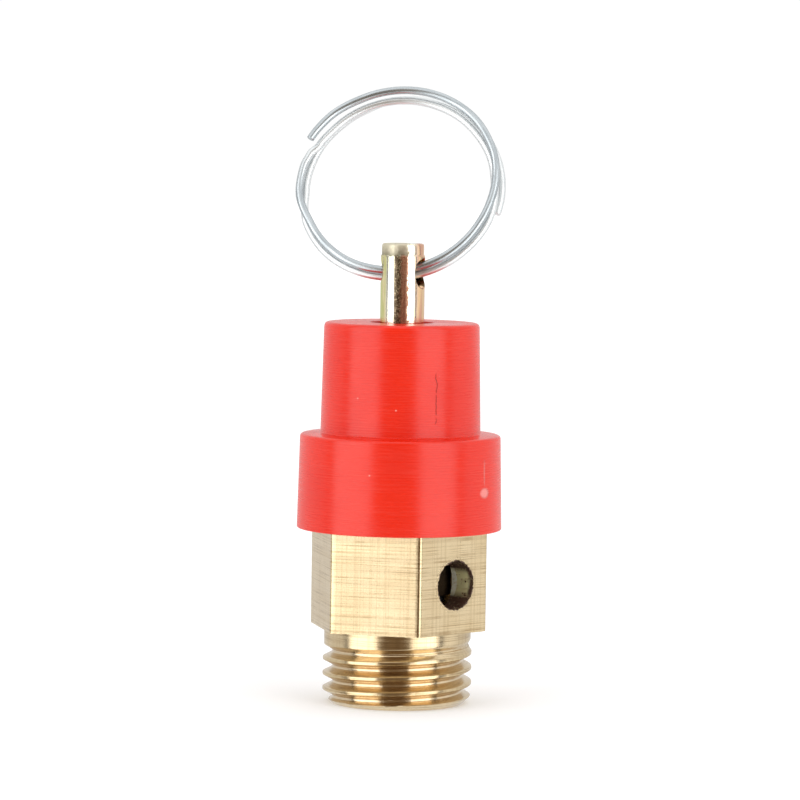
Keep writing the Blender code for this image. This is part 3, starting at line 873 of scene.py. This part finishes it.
def tube(name, points, thickness, sides):
    """A bent round wire with square-cut ends; it also returns its rows and each point's place round
    and along it.
    """
    rows = []
    marks = []
    length = 0.0
    count = len(points)
    radius = thickness / 2
    bevel = 0.06 * thickness
    turns = [2 * math.pi * j / sides for j in range(sides)]
    normal = (points[1] - points[0]).orthogonal().normalized()
    for i, point in enumerate(points):
        ahead = points[min(i + 1, count - 1)] - points[max(i - 1, 0)]
        tangent = ahead.normalized()
        normal = (normal - tangent * normal.dot(tangent)).normalized()
        side = tangent.cross(normal)
        if i:
            length += (point - points[i - 1]).length
        ring = [normal * math.cos(turn) + side * math.sin(turn) for turn in turns]
        sections = [(radius, point)]
        if i == 0:
            sections = [(0.0, point), (radius - bevel, point), (radius, point + tangent * bevel)]
        elif i == count - 1:
            sections = [(radius, point - tangent * bevel), (radius - bevel, point), (0.0, point)]
        for reach, centre in sections:
            rows.append([centre + spoke * reach for spoke in ring])
            marks += [(math.cos(turn), math.sin(turn), length) for turn in turns]
    item = loft(name, rows, joined=False)
    return item, rows, marks


def mark_wire(item, rows, marks):
    """Store for each vertex of a wire where it lies round and along the wire."""
    tree_points = [point for row in rows for point in row]
    tree = KDTree(len(tree_points))
    for i, point in enumerate(tree_points):
        tree.insert(point, i)
    tree.balance()
    attribute = item.data.attributes.new("wire", "FLOAT_VECTOR", "POINT")
    for vertex, value in zip(item.data.vertices, attribute.data):
        value.vector = marks[tree.find(vertex.co / MM)[1]]


def ring_radius(along):
    """Radius of the ring's wire at an angle in degrees along it, eased between the set points."""
    for (angle_a, radius_a), (angle_b, radius_b) in zip(RING_LAY, RING_LAY[1:]):
        if along <= angle_b:
            return radius_a + (radius_b - radius_a) * ease((along - angle_a) / (angle_b - angle_a))
    return RING_LAY[-1][1]


def ring_points(facets):
    """Centre line of the split ring, at its lean, about the stem's cross hole."""
    across = direction(RING_AZIMUTH)
    back = direction(RING_AZIMUTH + 90)
    lean = math.radians(RING_LEAN)
    upward = Vector((0, 0, math.cos(lean))) + back * math.sin(lean)
    forward = across.cross(upward).normalized()
    length = RING_LAY[-1][0]
    count = round(length / 360 * facets)
    # Two strands pass through the stem's hole, each half a turn from this place along the wire
    hole_strand = (RING_START + 90) / 360 + 0.5
    eye = Vector((0, 0, EYE_Z))
    points = []
    for i in range(count + 1):
        along = length * i / count
        angle = math.radians(RING_START - along)
        radius = ring_radius(along)
        sideways = RING_CENTRE[0] + radius * math.cos(angle)
        height = RING_CENTRE[1] + radius * math.sin(angle)
        depth = RING_PITCH * (hole_strand - along / 360)
        points.append(eye + across * sideways + upward * height + forward * depth)
    return points


def pull_ring(material):
    """The split ring of drawn wire."""
    item, rows, marks = tube("pull_ring_visual", ring_points(180), RING_WIRE, 16)
    mark_wire(item, rows, marks)
    finish_piece(item, "pull_ring_wire", "ring", "bright_steel", material, "pull_ring")


def pressure_spring(material):
    """Compression spring with closed ends."""
    foot = HOLDER_FACE + GAP + SPRING_WIRE / 2
    head = high("pressure_spring") - SPRING_WIRE / 2
    closed = SPRING_END_COILS * SPRING_WIRE * 1.06
    open_coils = SPRING_COILS - 2 * SPRING_END_COILS
    open_height = head - foot - 2 * closed
    facets = 48
    points = []
    for i in range(int(SPRING_COILS * facets) + 1):
        turn = i / facets
        if turn < SPRING_END_COILS:
            height = closed * turn / SPRING_END_COILS
        elif turn < SPRING_COILS - SPRING_END_COILS:
            height = closed + open_height * (turn - SPRING_END_COILS) / open_coils
        else:
            height = head - foot - closed * (SPRING_COILS - turn) / SPRING_END_COILS
        angle = 2 * math.pi * turn
        points.append(Vector((
            SPRING_MEAN_R * math.cos(angle), SPRING_MEAN_R * math.sin(angle), foot + height)))
    item, rows, marks = tube("pressure_spring_visual", points, SPRING_WIRE, 16)
    mark_wire(item, rows, marks)
    finish_piece(
        item, "pressure_spring_wire", "housing", "spring_steel", material, "pressure_spring")
    height = high("pressure_spring") - low("pressure_spring")
    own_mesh(item)


# ---------------------------------------------------------------- pieces inside


def disc_holder(material):
    """The poppet that carries the seal, with room in it for the clip."""
    recess_r = SEAL_R + 0.2
    recess_top = high("seal_disc") + GAP
    clip_room_r = CLIP_R + 0.4
    clip_room_top = STEM_GROOVE[1] + 0.15
    shaft_r = STEM_NECK_R + 0.2
    foot = low("disc_holder")
    outline = [
        (shaft_r, HOLDER_BOSS_TOP, 0.08), (BOSS_R, HOLDER_BOSS_TOP, 0.15),
        (BOSS_R, HOLDER_FACE, 0.1), (HOLDER_R, HOLDER_FACE, 0.2), (HOLDER_R, foot, 0.1),
        (recess_r, foot, 0.05), (recess_r, recess_top, 0.05), (clip_room_r, recess_top, 0.05),
        (clip_room_r, clip_room_top, 0.05), (shaft_r, clip_room_top, 0.05),
    ]
    holder = turned("disc_holder_visual", outline)
    finish_piece(
        holder, "disc_holder_turned", "disc", "inner_brass", material, "disc_holder")


def seal_disc(material):
    """The rubber disc, with a shallow print of the seat in its lower face."""
    base = low("seal_disc")
    top = high("seal_disc")
    outline = [
        (0, top, 0), (SEAL_R, top, 0.15), (SEAL_R, base, 0.15), (SEAT_R - 0.1, base, 0.05),
        (SEAT_R - 0.3, base + 0.06, 0.05), (INLET_R + 0.1, base + 0.06, 0.05),
        (INLET_R - 0.1, base, 0.05), (0, base, 0),
    ]
    seal = turned("seal_disc_visual", outline)
    finish_piece(
        seal, "seal_disc_moulded", "disc", "black_rubber", material, "seal_disc")


def stem_clip(material):
    """The open clip in the groove at the stem's foot."""
    base = low("stem_clip")
    top = high("stem_clip")
    inner = STEM_GROOVE_R + 0.2
    outline = [
        (inner, top, 0.06), (CLIP_R, top, 0.08), (CLIP_R, base, 0.08), (inner, base, 0.06)]
    clip = turned("stem_clip_visual", outline)
    mouth = slot_cutter(1.6 * inner, 2 * CLIP_R, 2, base + 1)
    mouth.data.transform(Matrix.Translation((0, CLIP_R * MM, 0)))
    cut(clip, mouth)
    finish_piece(
        clip, "stem_clip_pressed", "pull_stem", "spring_steel", material, "stem_clip")


def upper_spring_seat(material):
    """The collar between the spring and the adjusting screw."""
    top = high("upper_spring_seat")
    foot = low("upper_spring_seat")
    flange = foot + 1.1
    outline = [
        (SCREW_BORE_R, top, 0.1), (SPRING_SEAT_R, top, 0.2), (SPRING_SEAT_R, flange, 0.15),
        (BOSS_R, flange, 0.1), (BOSS_R, foot, 0.2), (SCREW_BORE_R, foot, 0.1),
    ]
    seat = turned("upper_spring_seat_visual", outline)
    finish_piece(
        seat, "upper_spring_seat_turned", "housing", "spring_steel", material,
        "upper_spring_seat")


def adjusting_screw(material):
    """Hollow screw with a fine outer thread and a slot across its top."""
    foot = low("adjusting_screw")
    top = high("adjusting_screw")
    sides = 96
    per_pitch = 10
    step = SCREW_PITCH / per_pitch
    rows = []
    for i in range(math.ceil((top - foot + SCREW_PITCH) / step) + 1):
        row = []
        for j in range(sides):
            rise = i * step - SCREW_PITCH + SCREW_PITCH * j / sides
            height = min(max(foot + rise, foot), top)
            phase = ((height - foot) / SCREW_PITCH - j / sides) % 1.0
            radius = SCREW_R - SCREW_THREAD * ease(1 - abs(2 * phase - 1) * 1.25)
            radius = min(radius, SCREW_R - SCREW_CHAMFER + min(height - foot, top - height))
            row.append(direction(360 * j / sides) * radius + Vector((0, 0, height)))
        rows.append(row)
    helix = (0, len(rows) - 1, per_pitch)
    bevel = SCREW_BORE_CHAMFER
    for wider, height in ((bevel, top), (0, top - bevel), (0, foot + bevel), (bevel, foot)):
        rows.append(circle(SCREW_BORE_R + wider, height, sides))
    screw = loft("adjusting_screw_visual", rows, helix=helix)
    cut(screw, slot_cutter(12, SLOT, 2 * SLOT, top + SLOT))
    finish_piece(
        screw, "adjusting_screw_threaded", "housing", "inner_brass", material,
        "adjusting_screw")


def lock_nut(material):
    """Ring nut with two slots across its top."""
    foot = low("lock_nut")
    top = high("lock_nut")
    inner = SCREW_R + 0.25
    outline = [
        (inner, top, 0.15), (NECK_TOP_R, top, 0.2), (NECK_TOP_R, foot, 0.15), (inner, foot, 0.1)]
    nut = turned("lock_nut_visual", outline)
    for length, width in ((14, SLOT), (SLOT, 14)):
        cut(nut, slot_cutter(length, width, SLOT, top + SLOT / 2))
    finish_piece(nut, "lock_nut_turned", "housing", "inner_brass", material, "lock_nut")


# ---------------------------------------------------------------- stage


def floor():
    """A plain pale floor, which the valve doesn't mirror."""
    look = Finish("floor_paper", Metallic=0.0, Roughness=0.9, Emission_Strength=0.12)
    look.set("Emission Color", (1.0, 1.0, 1.0))
    grain = look.grain(1.5, detail=2.0)
    look.set("Base Color", look.mix(grain, (0.93, 0.93, 0.93), (0.95, 0.95, 0.95)))
    bpy.ops.mesh.primitive_circle_add(vertices=96, radius=2.5, fill_type="NGON")
    item = bpy.context.object
    item.name = "floor"
    item.data.materials.append(look.material)
    item.location.z = -0.02 * MM
    item.visible_glossy = False


def grey(level):
    """A neutral colour."""
    return (level, level, level)


def studio():
    """Even pale surroundings with two tall soft boxes and a dark gap between them."""
    scene = bpy.context.scene
    scene.view_settings.view_transform = "Standard"
    world = bpy.data.worlds.new("studio")
    scene.world = world
    world.use_nodes = True
    tree = world.node_tree
    tree.nodes.clear()
    sight = add_node(tree, "TexCoord", output="Generated")
    parts = add_node(tree, "SeparateXYZ", {0: sight}).node.outputs
    toward = add_node(tree, "Math", {0: parts["Y"], 1: -1.0}, operation="MULTIPLY")
    azimuth = add_node(tree, "Math", {0: parts["X"], 1: toward}, operation="ARCTAN2")
    share = add_node(tree, "MapRange", {
        "Value": azimuth, "From Min": -math.pi, "From Max": math.pi})
    around = add_node(tree, "ValToRGB", {0: share})
    paper = grey(0.34)
    paper_right = grey(0.50)
    box = grey(1.0)
    gap = grey(0.06)
    dark = (0.085, 0.059, 0.036)
    stops = (
        (-91, paper), (-90, gap), (-81, gap), (-80, box), (-33, box), (-30, dark), (21, dark),
        (24, box), (66, box), (67, gap), (77, gap), (78, paper_right), (120, paper),
    )
    elements = around.node.color_ramp.elements
    for position in (0, 1):
        elements[position].position = position
        elements[position].color = (*paper, 1)
    for angle, colour in stops:
        stop = elements.new((angle + 180) / 360)
        stop.color = (*colour, 1)
    height = parts["Z"]
    top = add_node(tree, "MapRange", {
        "Value": height, "From Min": 0.55, "From Max": 0.75}, interpolation_type="SMOOTHSTEP")
    bottom = add_node(tree, "MapRange", {
        "Value": height, "From Min": -0.45, "From Max": -0.7}, interpolation_type="SMOOTHSTEP")
    colour = add_node(
        tree, "Mix", {0: top, 6: around, 7: grey(0.48)}, output=2, data_type="RGBA")
    colour = add_node(
        tree, "Mix", {0: bottom, 6: colour, 7: grey(0.40)}, output=2, data_type="RGBA")
    light = add_node(tree, "Background", {"Color": colour, "Strength": 2.4})
    seen = add_node(tree, "Background", {"Color": grey(1.0), "Strength": 1.02})
    direct = add_node(tree, "LightPath", output="Is Camera Ray")
    both = add_node(tree, "MixShader", {0: direct, 1: light, 2: seen})
    output = tree.nodes.new("ShaderNodeOutputWorld")
    tree.links.new(both, output.inputs["Surface"])


def camera():
    """The camera, a little below the top of the ring and aimed a little down."""
    data = bpy.data.cameras.new("camera")
    data.lens = CAMERA_LENS
    data.sensor_width = 36
    data.clip_start = 0.01
    item = bpy.data.objects.new("camera", data)
    bpy.context.scene.collection.objects.link(item)
    place = Vector((CAMERA_SIDE, -CAMERA_DISTANCE, CAMERA_HEIGHT)) * MM
    aim = Vector((CAMERA_SIDE, 0, CAMERA_AIM)) * MM
    turn = (aim - place).to_track_quat("-Z", "Y")
    roll = Quaternion((0, 0, 1), math.radians(CAMERA_ROLL))
    item.location = place
    item.rotation_mode = "QUATERNION"
    item.rotation_quaternion = turn @ roll
    bpy.context.scene.camera = item


camera()
studio()
floor()

brass = brass_finish()
inner_brass = inner_brass_finish()
steel = steel_finish()
spring_wire = wire_finish("spring_wire", 0.22, 0.4, 1.0, ((0.60, 0.60, 0.62), (0.40, 0.40, 0.42)))
# The ring's back coils, past 50 mm along the wire, are paler: a painted sheen.
ring_wire = wire_finish(
    "ring_wire", 0.22, 0.32, 0.88, ((0.60, 0.64, 0.66), (0.38, 0.42, 0.44)),
    ((0.90, 0.92, 0.92), (0.72, 0.75, 0.76)), 50.0)

valve_body(brass)
red_cap(red_finish())
stem(zinc_finish())
pull_ring(ring_wire)
pressure_spring(spring_wire)
disc_holder(dark_finish())
seal_disc(rubber_finish())
stem_clip(steel)
upper_spring_seat(steel)
adjusting_screw(inner_brass)
lock_nut(inner_brass)
